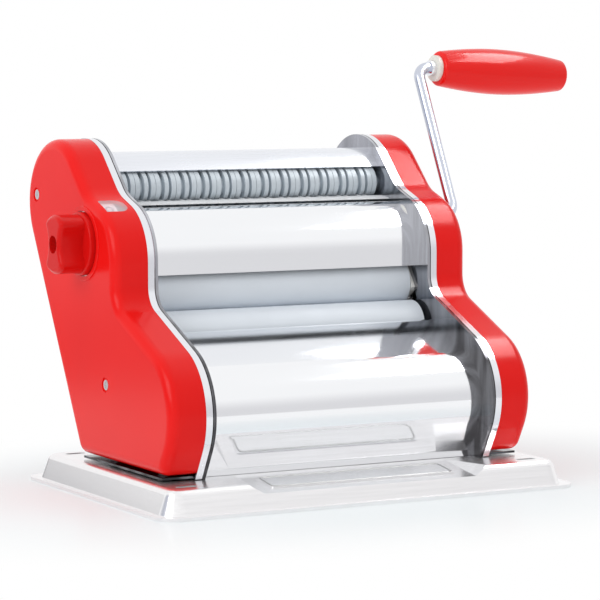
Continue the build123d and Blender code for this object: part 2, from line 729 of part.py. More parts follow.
# the dial window lies on the sloping rim above the knob, square to it
WINDOW_SLOPE = direction(at_height(BODY_CORNERS[3]), at_height(BODY_CORNERS[4]))
WINDOW_FOOT = at_height(BODY_CORNERS[3])
WINDOW_ALONG = (KNOB[0] - WINDOW_FOOT[0]) * cos(radians(WINDOW_SLOPE)) + (KNOB[1] - WINDOW_FOOT[1]) * sin(
    radians(WINDOW_SLOPE)
)
WINDOW_PLACE = moved(WINDOW_FOOT, WINDOW_ALONG - WINDOW_DROP, WINDOW_SLOPE)
WINDOW_PLANE = Plane(
    origin=(-COVER_X - WINDOW_START - WINDOW_WIDTH / 2, WINDOW_PLACE[0], WINDOW_PLACE[1]),
    x_dir=(0, cos(radians(WINDOW_SLOPE)), sin(radians(WINDOW_SLOPE))),
    z_dir=(0, -sin(radians(WINDOW_SLOPE)), cos(radians(WINDOW_SLOPE))),
)
with BuildPart() as window_tool:
    with BuildSketch(WINDOW_PLANE) as window_section:
        Rectangle(WINDOW_LENGTH, WINDOW_WIDTH)
        fillet(window_section.vertices().group_by(Axis.Y)[0], WINDOW_INNER_CORNER)
        fillet(window_section.vertices().group_by(Axis.Y)[-1], WINDOW_CORNER)
    extrude(amount=3 * COVER_WALL, both=True)

with BuildPart() as left_cover:
    mirror(cover_form.part, about=Plane.YZ)
    with BuildSketch(side_plane(-COVER_OUT + COVER_WALL - 0.6)):
        with Locations(KNOB):
            Circle(KNOB_SKIRT_RADIUS + KNOB_GAP + KNOB_BOSS)
    extrude(amount=-COVER_WALL + 0.6 - KNOB_BOSS_RISE)
    fillet(left_cover.edges().filter_by(GeomType.CIRCLE).group_by(Axis.X)[0], 0.6 * KNOB_BOSS_RISE)
    with BuildSketch(side_plane(-COVER_OUT - KNOB_BOSS_RISE)):
        with Locations(KNOB):
            Circle(KNOB_SKIRT_RADIUS + KNOB_GAP)
    extrude(amount=COVER_WALL + KNOB_BOSS_RISE, mode=Mode.SUBTRACT)
    add(window_tool.part, mode=Mode.SUBTRACT)
finish(left_cover, "left_cover")

with BuildPart() as dial_window:
    mirror(cover_form.part, about=Plane.YZ)
    add(window_tool.part, mode=Mode.INTERSECT)
finish(dial_window, "dial_window")

with BuildPart() as cover_posts:
    for start in (PLATE_OUT, -COVER_IN):
        with BuildSketch(side_plane(start)):
            for post in COVER_POSTS:
                with Locations(at_height(post)):
                    Circle(COVER_POST_RADIUS)
        extrude(amount=COVER_IN - PLATE_OUT)
    for start in (COVER_IN, -COVER_IN):
        with BuildSketch(side_plane(start)):
            for post in COVER_POSTS:
                with Locations(at_height(post)):
                    Circle(COVER_SCREW_RADIUS / 2)
        extrude(amount=-COVER_SCREW_REACH if start > 0 else COVER_SCREW_REACH, mode=Mode.SUBTRACT)
finish(cover_posts, "cover_posts")

with BuildPart() as cover_screw_form:
    with BuildSketch(side_plane(COVER_IN - COVER_SCREW_REACH)):
        for post in COVER_POSTS:
            with Locations(at_height(post)):
                Circle(COVER_SCREW_RADIUS / 2)
    extrude(amount=COVER_SCREW_REACH)
    with BuildSketch(side_plane(COVER_IN)):
        for post in COVER_POSTS:
            with Locations(at_height(post)):
                Circle(COVER_SCREW_RADIUS)
    extrude(amount=COVER_WALL - 0.5)
    with BuildSketch(side_plane(COVER_OUT - 1.4)):
        for post in COVER_POSTS:
            with Locations(at_height(post)):
                Rectangle(1.3 * COVER_SCREW_RADIUS, 0.9)
                Rectangle(0.9, 1.3 * COVER_SCREW_RADIUS)
    extrude(amount=2, mode=Mode.SUBTRACT)

with BuildPart() as cover_screws:
    add(cover_screw_form.part)
    mirror(cover_screw_form.part, about=Plane.YZ)
finish(cover_screws, "cover_screws")

# ---- Rollers -----------------------------------------------------------------------------------

HALF_ROLLER = ROLLER_LENGTH / 2
INNER_GEAR_END = INNER_GEAR_X + GEAR_WIDTH
OUTER_GEAR_END = OUTER_GEAR_X + GEAR_WIDTH

fixed_roller = turned(
    FIXED,
    [
        (-INNER_GEAR_END, OUTER_GEAR_END, FIXED_SHAFT_RADIUS),
        (-HALF_ROLLER, HALF_ROLLER, ROLLER_RADIUS),
    ],
)
finish(fixed_roller, "fixed_roller")

movable_roller = turned(
    MOVABLE,
    [
        (-INNER_GEAR_END, INNER_GEAR_X - 0.8, MOVABLE_SHAFT_RADIUS),
        (-HALF_ROLLER, HALF_ROLLER, ROLLER_RADIUS),
    ],
)
finish(movable_roller, "movable_roller")

with BuildPart() as fixed_roller_gears:
    driven = gear_blank(
        FIXED, TRAIN_MODULE, TEETH_ROLLER_DRIVEN, TURN_DRIVEN, OUTER_GEAR_X, GEAR_WIDTH, FIXED_SHAFT_RADIUS
    )
    paired = gear_blank(
        FIXED, ROLLER_MODULE, TEETH_ROLLER, 0.0, -INNER_GEAR_END, GEAR_WIDTH, FIXED_SHAFT_RADIUS
    )
    add(driven.part)
    add(paired.part)
finish(fixed_roller_gears, "fixed_roller_gears")

movable_roller_gear = gear_blank(
    MOVABLE, ROLLER_MODULE, TEETH_ROLLER, TURN_MOVABLE, -INNER_GEAR_END, GEAR_WIDTH, MOVABLE_SHAFT_RADIUS
)
finish(movable_roller_gear, "movable_roller_gear")

CLEAR_FIXED = FIXED_SHAFT_RADIUS + RUN_CLEARANCE
roller_bushes = rings_on_shafts(
    [
        (FIXED, PLATE_X, PLATE_OUT + BUSH_PROUD, ROLLER_BUSH_RADIUS, CLEAR_FIXED),
        (FIXED, -PLATE_OUT - BUSH_PROUD, -PLATE_X, ROLLER_BUSH_RADIUS, CLEAR_FIXED),
    ]
)
finish(roller_bushes, "roller_bushes")

# the bearing blocks: a tongue in the plate's slot and a wider flange inside the plate
BLOCK_X = HALF_ROLLER + 0.6
with BuildPart() as block_form:
    with BuildSketch(side_plane(BLOCK_X)):
        add(along_travel(MOVABLE, -BLOCK_BELOW, BLOCK_ABOVE, BLOCK_WIDTH + BLOCK_LIP))
    extrude(amount=PLATE_X - 0.1 - BLOCK_X)
    with BuildSketch(side_plane(BLOCK_X)):
        add(along_travel(MOVABLE, -BLOCK_BELOW, TONGUE_ABOVE, BLOCK_WIDTH))
    extrude(amount=PLATE_OUT - BLOCK_X)
    with BuildSketch(side_plane(BLOCK_X)):
        with Locations(MOVABLE):
            Circle(MOVABLE_SHAFT_RADIUS + RUN_CLEARANCE)
    extrude(amount=PLATE_OUT - BLOCK_X, mode=Mode.SUBTRACT)
with BuildPart() as bearing_blocks:
    add(block_form.part)
    mirror(block_form.part, about=Plane.YZ)
finish(bearing_blocks, "bearing_blocks")

SPRING_FOOT = moved(MOVABLE, -SLOT_BELOW, NIP_ANGLE)
SPRING_START = moved(SPRING_FOOT, SPRING_WIRE, NIP_ANGLE)
SPRING_X = PLATE_X + PLATE_THICKNESS / 2
with BuildPart() as spring_form:
    with BuildLine():
        Helix(
            pitch=SPRING_PITCH,
            height=SPRING_SPACE - 2 * SPRING_WIRE,
            radius=SPRING_RADIUS,
            center=(SPRING_X, SPRING_START[0], SPRING_START[1]),
            direction=(0, TRAVEL[0], TRAVEL[1]),
        )
    coil_start = spring_form.pending_edges[0]
    with BuildSketch(Plane(origin=coil_start @ 0, z_dir=coil_start % 0)):
        Circle(SPRING_WIRE)
    sweep(path=coil_start, is_frenet=True)
with BuildPart() as block_springs:
    add(spring_form.part)
    mirror(spring_form.part, about=Plane.YZ)
finish(block_springs, "block_springs")

# ---- Roller guides: fixed blades that keep the sheet from going round with a roller ---------------


def guide_blade(roller, angle, lean):
    """Blade whose edge stands off a roller on its leaving side; lean is the blade's direction."""
    edge = moved(roller, ROLLER_RADIUS + GUIDE_GAP, angle)
    back = moved(edge, GUIDE_DEPTH, lean)
    with BuildSketch() as section:
        with Locations(((edge[0] + back[0]) / 2, (edge[1] + back[1]) / 2)):
            Rectangle(GUIDE_DEPTH, SHEET, rotation=lean)
    return section.sketch


with BuildPart() as roller_guides:
    with BuildSketch(side_plane(-PLATE_X)):
        add(guide_blade(FIXED, NIP_ANGLE - 52.0, NIP_ANGLE - 105.0))
        add(guide_blade(MOVABLE, NIP_ANGLE - 95.0, NIP_ANGLE - 98.0))
    extrude(amount=2 * PLATE_X)
finish(roller_guides, "roller_guides")

# ---- Cutters ---------------------------------------------------------------------------------


def cutter(place, rings, radius, stations):
    """Cutter turned from one bar: rings (start, end) on a core, with shaft stations."""
    core = radius - RING_DEPTH
    points = [(-HALF_ROLLER, 0.0), (-HALF_ROLLER, core)]
    for start, end in rings:
        points += [(start, core), (start, radius), (end, radius), (end, core)]
    points += [(HALF_ROLLER, core), (HALF_ROLLER, 0.0)]
    with BuildPart() as piece:
        with BuildSketch(Plane(origin=(0, place[0], place[1]), x_dir=(1, 0, 0), z_dir=(0, -1, 0))):
            with BuildLine():
                Polyline(*points, close=True)
            make_face()
        revolve(axis=Axis((0, place[0], place[1]), (1, 0, 0)))
        for start, end in stations:
            with BuildSketch(side_plane(start)):
                with Locations(place):
                    Circle(SHAFT_RADIUS)
            extrude(amount=end - start)
    return piece


def gaps_between(rings):
    """The open stretches between rings, first to last."""
    return [(rings[i][1], rings[i + 1][0]) for i in range(len(rings) - 1)]


def fitting_rings(gaps):
    """Rings that run in another cutter's gaps with the side clearance."""
    return [(start + RING_SIDE_CLEARANCE, end - RING_SIDE_CLEARANCE) for start, end in gaps]


WIDE_PERIOD = ROLLER_LENGTH / WIDE_PERIODS
WIDE_GAP = WIDE_PERIOD - WIDE_RING - WIDE_SMALL_RING - WIDE_SMALL_GAP
wide_front_rings = []
for period in range(WIDE_PERIODS):
    small_start = -HALF_ROLLER + period * WIDE_PERIOD + WIDE_GAP - WIDE_EDGE
    wide_start = small_start + WIDE_SMALL_RING + WIDE_SMALL_GAP
    wide_middle = wide_start + WIDE_RING / 2
    wide_front_rings.append((small_start, small_start + WIDE_SMALL_RING))
    wide_front_rings.append((wide_start, wide_middle - WIDE_SPLIT / 2))
    wide_front_rings.append((wide_middle + WIDE_SPLIT / 2, wide_start + WIDE_RING))
wide_front_gaps = [gap for gap in gaps_between(wide_front_rings) if gap[1] - gap[0] > 2 * WIDE_SPLIT]
wide_rear_rings = fitting_rings(wide_front_gaps)
wide_rear_gaps = gaps_between(wide_rear_rings)

NARROW_PITCH = ROLLER_LENGTH / NARROW_PERIODS
narrow_front_rings = []
for period in range(NARROW_PERIODS):
    start = -HALF_ROLLER + period * NARROW_PITCH + NARROW_PITCH / 4
    narrow_front_rings.append((start, start + NARROW_PITCH / 2 - RING_SIDE_CLEARANCE))
narrow_front_gaps = gaps_between(narrow_front_rings)
narrow_rear_rings = fitting_rings(narrow_front_gaps)
narrow_rear_gaps = gaps_between(narrow_rear_rings)

LEFT_END = -INNER_GEAR_END
SHORT_LEFT = -PLATE_OUT - 4.0
wide_front_cutter = cutter(WIDE_FRONT, wide_front_rings, CUTTER_RADIUS, [(SHORT_LEFT, INNER_GEAR_END)])
finish(wide_front_cutter, "wide_front_cutter")
wide_rear_cutter = cutter(WIDE_REAR, wide_rear_rings, CUTTER_RADIUS, [(LEFT_END, INNER_GEAR_END)])
finish(wide_rear_cutter, "wide_rear_cutter")
narrow_front_cutter = cutter(
    NARROW_FRONT, narrow_front_rings, NARROW_RADIUS, [(LEFT_END, INNER_GEAR_END)]
)
finish(narrow_front_cutter, "narrow_front_cutter")
narrow_rear_cutter = cutter(
    NARROW_REAR, narrow_rear_rings, NARROW_RADIUS, [(SHORT_LEFT, INNER_GEAR_END)]
)
finish(narrow_rear_cutter, "narrow_rear_cutter")


def train_gear(place, teeth, turn, start, bore):
    """Gear of the trains at a place along X."""
    return gear_blank(place, TRAIN_MODULE, teeth, turn, start, GEAR_WIDTH, bore)


wide_front_gear = train_gear(WIDE_FRONT, TEETH_WIDE, TURN_WIDE_FRONT, INNER_GEAR_X, SHAFT_RADIUS)
finish(wide_front_gear, "wide_front_gear")
with BuildPart() as wide_rear_gears:
    add(train_gear(WIDE_REAR, TEETH_WIDE, TURN_WIDE_REAR, INNER_GEAR_X, SHAFT_RADIUS).part)
    add(train_gear(WIDE_REAR, TEETH_TRANSFER, 0.0, LEFT_END, SHAFT_RADIUS).part)
finish(wide_rear_gears, "wide_rear_gears")
with BuildPart() as narrow_front_gears:
    add(train_gear(NARROW_FRONT, TEETH_NARROW, 0.0, INNER_GEAR_X, SHAFT_RADIUS).part)
    add(train_gear(NARROW_FRONT, TEETH_TRANSFER, TURN_TRANSFER, LEFT_END, SHAFT_RADIUS).part)
finish(narrow_front_gears, "narrow_front_gears")
narrow_rear_gear = train_gear(NARROW_REAR, TEETH_NARROW, TURN_NARROW_REAR, INNER_GEAR_X, SHAFT_RADIUS)
finish(narrow_rear_gear, "narrow_rear_gear")

cutter_bush_rings = []
for place in (WIDE_FRONT, WIDE_REAR, NARROW_FRONT, NARROW_REAR):
    for start in (PLATE_X, -PLATE_OUT - BUSH_PROUD):
        end = start + PLATE_THICKNESS + BUSH_PROUD
        cutter_bush_rings.append((place, start, end, CUTTER_BUSH_RADIUS, CLEAR_SHAFT))
cutter_bushes = rings_on_shafts(cutter_bush_rings)
finish(cutter_bushes, "cutter_bushes")


def comb(bar_place, cutter_place, radius, gaps, side):
    """Comb: a bar across the machine and fingers that lie on a cutter's core in its gaps."""
    reach = radius - RING_DEPTH + COMB_CLEARANCE + COMB_THICKNESS / 2
    apart = hypot(cutter_place[0] - bar_place[0], cutter_place[1] - bar_place[1])
    lean = radians(direction(bar_place, cutter_place)) + side * atan2(reach, sqrt(apart**2 - reach**2))
    length = sqrt(apart**2 - reach**2)
    plane = Plane(
        origin=(0, bar_place[0], bar_place[1]), x_dir=(1, 0, 0), z_dir=(0, -sin(lean), cos(lean))
    )
    bar = length - radius - COMB_BAR_GAP
    with BuildPart() as piece:
        with BuildSketch(plane):
            Rectangle(2 * PLATE_X, bar, align=(Align.CENTER, Align.MIN))
            for start, end in gaps:
                with Locations(((start + end) / 2, bar - 0.5)):
                    Rectangle(
                        end - start - 2 * COMB_FINGER_GAP,
                        length - bar + 0.5,
                        align=(Align.CENTER, Align.MIN),
                    )
        extrude(amount=COMB_THICKNESS / 2, both=True)
    return piece


wide_front_comb = comb(WIDE_FRONT_COMB, WIDE_FRONT, CUTTER_RADIUS, wide_front_gaps, -1)
finish(wide_front_comb, "wide_front_comb")
wide_rear_comb = comb(WIDE_REAR_COMB, WIDE_REAR, CUTTER_RADIUS, wide_rear_gaps, 1)
finish(wide_rear_comb, "wide_rear_comb")
narrow_front_comb = comb(NARROW_FRONT_COMB, NARROW_FRONT, NARROW_RADIUS, narrow_front_gaps, -1)
finish(narrow_front_comb, "narrow_front_comb")
narrow_rear_comb = comb(NARROW_REAR_COMB, NARROW_REAR, NARROW_RADIUS, narrow_rear_gaps, 1)
finish(narrow_rear_comb, "narrow_rear_comb")

# ---- Idler gears and the drive -------------------------------------------------------------------

idler_gear_rollers = train_gear(
    ROLLER_IDLER, TEETH_ROLLER_IDLER, TURN_ROLLER_IDLER, OUTER_GEAR_X, CLEAR_SHAFT
)
finish(idler_gear_rollers, "idler_gear_rollers")
idler_gear_cutters = train_gear(
    CUTTER_IDLER, TEETH_CUTTER_IDLER, TURN_CUTTER_IDLER, INNER_GEAR_X, CLEAR_SHAFT
)
finish(idler_gear_cutters, "idler_gear_cutters")

with BuildPart() as idler_pins:
    for place, gear_start in ((ROLLER_IDLER, OUTER_GEAR_X), (CUTTER_IDLER, INNER_GEAR_X)):
        head_start = gear_start + GEAR_WIDTH + 0.2
        for start, end, radius in (
            (PLATE_X, head_start + 1.0, SHAFT_RADIUS),
            (PLATE_OUT, gear_start - 0.2, IDLER_SHOULDER_RADIUS),
            (head_start, head_start + 1.0, IDLER_SHOULDER_RADIUS),
        ):
            with BuildSketch(side_plane(start)):
                with Locations(place):
                    Circle(radius)
            extrude(amount=end - start)
finish(idler_pins, "idler_pins")

ARM_X = COVER_OUT + CRANK_OFFSET
SOCKET_X = COVER_OUT - 12.0
with BuildPart() as drive_gear:
    with BuildSketch(side_plane(PLATE_X + 0.1)):
        with Locations(CRANK):
            Circle(DRIVE_SHAFT_RADIUS)
    extrude(amount=COVER_OUT + 1.8 - PLATE_X - 0.1)
    add(
        gear_blank(
            CRANK,
            TRAIN_MODULE,
            TEETH_DRIVE,
            TURN_DRIVE,
            INNER_GEAR_X,
            OUTER_GEAR_END - INNER_GEAR_X,
            SHAFT_RADIUS,
        ).part
    )
    with BuildSketch(side_plane(SOCKET_X)):
        with Locations(CRANK):
            Circle(CRANK_RADIUS)
    extrude(amount=COVER_DEPTH, mode=Mode.SUBTRACT)
finish(drive_gear, "drive_gear")

drive_bushes = rings_on_shafts(
    [
        (CRANK, PLATE_X, PLATE_OUT + BUSH_PROUD, DRIVE_BUSH_RADIUS, DRIVE_SHAFT_RADIUS + RUN_CLEARANCE),
        (CRANK, COVER_IN - 1.0, COVER_OUT + 0.8, DRIVE_BUSH_RADIUS, DRIVE_SHAFT_RADIUS + RUN_CLEARANCE),
    ]
)
finish(drive_bushes, "drive_bushes")

GRIP_AXIS = (CRANK[0] + CRANK_ARM[0], CRANK[1] + CRANK_ARM[1])
GRIP_DIRECTION = (cos(radians(GRIP_DROOP)), -sin(radians(GRIP_DROOP)))
GRIP_START = (ARM_X, GRIP_AXIS[0], GRIP_AXIS[1])
GRIP_END = GRIP_GAP + GRIP_LENGTH
ROD_END = GRIP_END - GRIP_SCREW_DEPTH


def on_grip_axis(reach):
    """Place on the grip's axis at a distance from the crank arm's middle."""
    return (ARM_X + reach * GRIP_DIRECTION[0], GRIP_AXIS[0], GRIP_AXIS[1] + reach * GRIP_DIRECTION[1])


def grip_plane(reach):
    """Plane across the grip's axis."""
    return Plane(
        origin=on_grip_axis(reach), x_dir=(0, 1, 0), z_dir=(GRIP_DIRECTION[0], 0, GRIP_DIRECTION[1])
    )


with BuildPart() as crank_rod:
    with BuildLine() as crank_line:
        FilletPolyline(
            (SOCKET_X, CRANK[0], CRANK[1]),
            (ARM_X, CRANK[0], CRANK[1]),
            GRIP_START,
            on_grip_axis(ROD_END),
            radius=CRANK_BEND,
        )
    with BuildSketch(side_plane(SOCKET_X)):
        with Locations(CRANK):
            Circle(CRANK_RADIUS)
    sweep(path=crank_line.wire())
finish(crank_rod, "crank_rod")

with BuildPart() as grip_collar:
    with BuildSketch(grip_plane(GRIP_GAP - 7.0)):
        Circle(COLLAR_RADIUS)
        Circle(CRANK_RADIUS, mode=Mode.SUBTRACT)
    extrude(amount=4.0)
finish(grip_collar, "grip_collar")

with BuildPart() as grip_washer:
    with BuildSketch(grip_plane(GRIP_GAP - 3.0)):
        Circle(WASHER_RADIUS)
        Circle(CRANK_RADIUS, mode=Mode.SUBTRACT)
    extrude(amount=2.8)
finish(grip_washer, "grip_washer")

with BuildPart() as handle_grip:
    grip_profile = Plane(origin=GRIP_START, x_dir=(GRIP_DIRECTION[0], 0, GRIP_DIRECTION[1]), z_dir=(0, -1, 0))
    bore = CRANK_RADIUS + RUN_CLEARANCE
    with BuildSketch(grip_profile):
        with BuildLine():
            Spline(
                (GRIP_GAP, GRIP_END_RADIUS),
                (GRIP_GAP + 0.2 * GRIP_LENGTH, 0.35 * GRIP_END_RADIUS + 0.65 * GRIP_RADIUS),
                (GRIP_GAP + 0.44 * GRIP_LENGTH, GRIP_RADIUS),
                (GRIP_GAP + 0.73 * GRIP_LENGTH, 0.35 * GRIP_END_RADIUS + 0.65 * GRIP_RADIUS),
                (GRIP_END, GRIP_END_RADIUS - 1.2),
            )
            Polyline(
                (GRIP_END, GRIP_END_RADIUS - 1.2),
                (GRIP_END, GRIP_SCREW_BORE),
                (ROD_END - 1.0, GRIP_SCREW_BORE),
                (ROD_END - 1.0, bore),
                (GRIP_GAP, bore),
                (GRIP_GAP, GRIP_END_RADIUS),
            )
        make_face()
    revolve(axis=Axis(GRIP_START, (GRIP_DIRECTION[0], 0, GRIP_DIRECTION[1])))
    rims = [
        rim
        for rim in handle_grip.edges().filter_by(GeomType.CIRCLE)
        if rim.radius > GRIP_END_RADIUS - 1.3
    ]
    fillet(rims, GRIP_EDGE)
finish(handle_grip, "handle_grip")

with BuildPart() as grip_screw:
    with BuildSketch(grip_plane(ROD_END)):
        Circle(GRIP_SCREW_BORE - 1.0)
    extrude(amount=3.0)
    with BuildSketch(grip_plane(ROD_END + 2.0)):
        Rectangle(1.2, 2 * GRIP_SCREW_BORE)
    extrude(amount=2.0, mode=Mode.SUBTRACT)
finish(grip_screw, "grip_screw")

# ---- Gap adjuster ------------------------------------------------------------------------------

KNOB_START = -COVER_OUT + KNOB_SUNK
KNOB_END = -COVER_OUT - KNOB_REACH
ADJUSTER_END = KNOB_END + KNOB_HOLE_DEPTH
DRUM_START = -COVER_OUT + DRUM_SUNK

adjuster_shaft = turned(KNOB, [(ADJUSTER_END, PLATE_OUT + 2.0, ADJUSTER_RADIUS)])
finish(adjuster_shaft, "adjuster_shaft")

CLEAR_ADJUSTER = ADJUSTER_RADIUS + RUN_CLEARANCE
adjuster_bushes = rings_on_shafts(
    [
        (KNOB, PLATE_X, PLATE_OUT + BUSH_PROUD, ADJUSTER_BUSH_RADIUS, CLEAR_ADJUSTER),
        (KNOB, -PLATE_OUT - BUSH_PROUD, -PLATE_X, ADJUSTER_BUSH_RADIUS, CLEAR_ADJUSTER),
    ]
)
finish(adjuster_bushes, "adjuster_bushes")


def cam_outline():
    """Spiral that falls by the gap travel over the knob's sweep, closed by a straight step."""
    points = []
    for step in range(CAM_STEPS + 1):
        share = step / CAM_STEPS
        angle = NIP_ANGLE + 180 - share * CAM_SWEEP
        points.append(moved(KNOB, CAM_RADIUS - share * GAP_TRAVEL, angle))
    with BuildSketch() as outline:
        with BuildLine():
            Spline(*points)
            Line(points[-1], points[0])
        make_face()
    return outline.sketch


with BuildPart() as adjuster_cams:
    for start in (BLOCK_X, -BLOCK_X - CAM_THICKNESS):
        with BuildSketch(side_plane(start)):
            add(cam_outline())
            with Locations(KNOB):
                Circle(ADJUSTER_RADIUS, mode=Mode.SUBTRACT)
        extrude(amount=CAM_THICKNESS)
finish(adjuster_cams, "adjuster_cams")

dial_drum = rings_on_shafts(
    [
        (KNOB, DRUM_START, DRUM_START + DRUM_WIDTH, DRUM_RADIUS, DRUM_RADIUS - 3.0),
        (KNOB, DRUM_START, DRUM_START + 2.5, DRUM_RADIUS - 2.9, ADJUSTER_RADIUS),
        (KNOB, DRUM_START, DRUM_START + DRUM_WIDTH - 2.0, 2 * ADJUSTER_RADIUS, ADJUSTER_RADIUS),
    ]
)
finish(dial_drum, "dial_drum")

with BuildPart() as knob_skirt:
    skirt_end = -COVER_OUT - KNOB_SKIRT
    with BuildSketch(side_plane(skirt_end)):
        with Locations(KNOB):
            Circle(KNOB_SKIRT_RADIUS)
    extrude(amount=KNOB_START - skirt_end)
    fillet(knob_skirt.edges().group_by(Axis.X)[0], KNOB_SKIRT / 4)

with BuildPart() as knob:
    with BuildSketch(side_plane(KNOB_END)) as knob_section:
        with Locations(KNOB):
            Circle(KNOB_GRIP_RADIUS)
        for side in (-1, 1):
            with Locations((KNOB[0] + side * (KNOB_BAR / 2 + KNOB_SCOOP), KNOB[1])):
                Circle(KNOB_SCOOP, mode=Mode.SUBTRACT)
        fillet(knob_section.vertices(), KNOB_CORNER)
    extrude(amount=skirt_end - KNOB_END)
    fillet(knob.edges().group_by(Axis.X)[0], KNOB_EDGE)
    add(knob_skirt.part)
    with BuildSketch(side_plane(KNOB_END)):
        with Locations(KNOB):
            Circle(KNOB_HOLE_RADIUS)
    extrude(amount=KNOB_HOLE_DEPTH, mode=Mode.SUBTRACT)
    with BuildSketch(side_plane(KNOB_END)):
        with Locations(KNOB):
            Circle(ADJUSTER_RADIUS)
    extrude(amount=KNOB_START - KNOB_END, mode=Mode.SUBTRACT)
finish(knob, "knob")

with BuildPart() as knob_screw:
    with BuildSketch(side_plane(ADJUSTER_END)):
        with Locations(KNOB):
            Circle(KNOB_HOLE_RADIUS - 0.8)
    extrude(amount=-2.4)
    with BuildSketch(side_plane(ADJUSTER_END - 1.4)):
        with Locations(KNOB):
            Rectangle(2 * KNOB_HOLE_RADIUS, 1.2)
    extrude(amount=-2.0, mode=Mode.SUBTRACT)
finish(knob_screw, "knob_screw")
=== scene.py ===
"""Pasta roller machine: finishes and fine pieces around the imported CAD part. Lengths in metres."""

import json

import bpy
import numpy as np
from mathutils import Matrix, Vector


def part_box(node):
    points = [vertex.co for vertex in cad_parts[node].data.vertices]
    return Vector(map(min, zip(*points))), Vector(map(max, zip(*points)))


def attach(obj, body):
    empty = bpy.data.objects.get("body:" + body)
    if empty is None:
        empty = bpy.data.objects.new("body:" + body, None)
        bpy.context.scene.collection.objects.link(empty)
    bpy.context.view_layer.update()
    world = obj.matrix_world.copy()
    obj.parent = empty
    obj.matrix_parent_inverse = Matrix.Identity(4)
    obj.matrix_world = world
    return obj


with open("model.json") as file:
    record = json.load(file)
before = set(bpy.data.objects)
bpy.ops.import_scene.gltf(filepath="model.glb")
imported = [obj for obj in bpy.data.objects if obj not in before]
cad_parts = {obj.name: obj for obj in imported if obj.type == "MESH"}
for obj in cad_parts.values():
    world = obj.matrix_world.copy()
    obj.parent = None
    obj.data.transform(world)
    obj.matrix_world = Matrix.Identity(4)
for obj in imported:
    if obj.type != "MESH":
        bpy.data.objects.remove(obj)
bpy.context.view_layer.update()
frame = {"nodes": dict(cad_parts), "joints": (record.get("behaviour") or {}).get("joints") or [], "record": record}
nodes = frame["nodes"]
joints = {joint["name"]: joint for joint in frame["joints"]}


# ---- Shader maths --------------------------------------------------------------------------------


class Wire:
    """A socket whose operators add the Math nodes of an expression."""

    def __init__(self, owner, socket):
        self.owner = owner
        self.socket = socket

    def _math(self, operation, *values):
        return self.owner.node("ShaderNodeMath", {"operation": operation}, dict(enumerate(values)))

    def __add__(self, other):
        return self._math("ADD", self, other)

    __radd__ = __add__

    def __sub__(self, other):
        return self._math("SUBTRACT", self, other)

    def __rsub__(self, other):
        return self._math("SUBTRACT", other, self)

    def __mul__(self, other):
        return self._math("MULTIPLY", self, other)

    __rmul__ = __mul__

    def absolute(self):
        return self._math("ABSOLUTE", self)

    def sine(self):
        return self._math("SINE", self)

    def clamped(self):
        """Kept between 0 and 1."""
        return self._math("MINIMUM", self._math("MAXIMUM", self, 0.0), 1.0)

    def eased(self):
        """From 0 to 1 with level ends."""
        inside = self.clamped()
        return inside * inside * (3.0 - 2.0 * inside)


class Nodes:
    """Node tree of a material or of the room: node() makes each node and hands back a Wire."""

    def __init__(self, tree):
        self.tree = tree

    def node(self, kind, settings=None, inputs=None, output=0):
        made = self.tree.nodes.new(kind)
        for key, value in (settings or {}).items():
            setattr(made, key, value)
        for key, value in (inputs or {}).items():
            self.feed(made.inputs[key], value)
        return Wire(self, made.outputs[output])

    def feed(self, socket, value):
        """Links a Wire to a socket, or sets the socket to a number, a vector or a colour."""
        if isinstance(value, Wire):
            self.tree.links.new(value.socket, socket)
        elif socket.type == "RGBA":
            socket.default_value = (*value, 1.0)
        else:
            socket.default_value = value


class Finish(Nodes):
    """One material, with patterns that lie in the piece's own place."""

    def __init__(self, name):
        self.material = bpy.data.materials.new(name)
        self.material.use_nodes = True
        super().__init__(self.material.node_tree)
        self.shader = self.tree.nodes["Principled BSDF"]
        self.place = self.node("ShaderNodeTexCoord", output="Object")

    def coordinate(self, axis):
        return self.node("ShaderNodeSeparateXYZ", None, {"Vector": self.place}, output=axis)

    def scaled_place(self, scale):
        return self.node("ShaderNodeMapping", None, {"Vector": self.place, "Scale": scale})

    def noise(self, scale, detail, stretch=None):
        """Cloudy pattern; a stretch below 1 along an axis draws it out that way."""
        place = self.scaled_place(stretch) if stretch else self.place
        return self.node("ShaderNodeTexNoise", None, {"Vector": place, "Scale": scale, "Detail": detail})

    def blend(self, share, first, second):
        return self.node("ShaderNodeMix", {"data_type": "RGBA"}, {0: share, 6: first, 7: second}, output=2)

    def glow(self, colour, strength):
        return self.node("ShaderNodeEmission", None, {"Color": colour, "Strength": strength})

    def mix(self, share, first, second):
        """Makes a mix of two shaders the material's surface."""
        mixed = self.node("ShaderNodeMixShader", None, {0: share, 1: first, 2: second})
        self.feed(self.tree.nodes["Material Output"].inputs["Surface"], mixed)

    def set(self, **values):
        """Feeds the shader's sockets, named with _ for a space."""
        for key, value in values.items():
            self.feed(self.shader.inputs[key.replace("_", " ")], value)

    def bump(self, height, strength, distance):
        inputs = {"Height": height, "Strength": strength, "Distance": distance}
        self.set(Normal=self.node("ShaderNodeBump", None, inputs))


# ---- Finishes ------------------------------------------------------------------------------------


def darker(colour, share):
    return tuple(share * part for part in colour)


def moulded_red(name, colour, deep, roughness, gloss, clear_coat):
    """Moulded plastic: slow colour drift, an orange-peel skin and a soft clear top."""
    finish = Finish(name)
    drift = finish.noise(scale=14.0, detail=2.0)
    scuff = finish.noise(scale=160.0, detail=4.0)
    skin = finish.noise(scale=900.0, detail=2.0)
    finish.set(
        Base_Color=finish.blend(drift, colour, deep),
        Roughness=roughness + 0.06 * scuff,
        Specular_IOR_Level=gloss,
        Coat_Weight=clear_coat,
        Coat_Roughness=0.10,
    )
    finish.bump(skin, strength=0.05, distance=0.0002)
    return finish.material


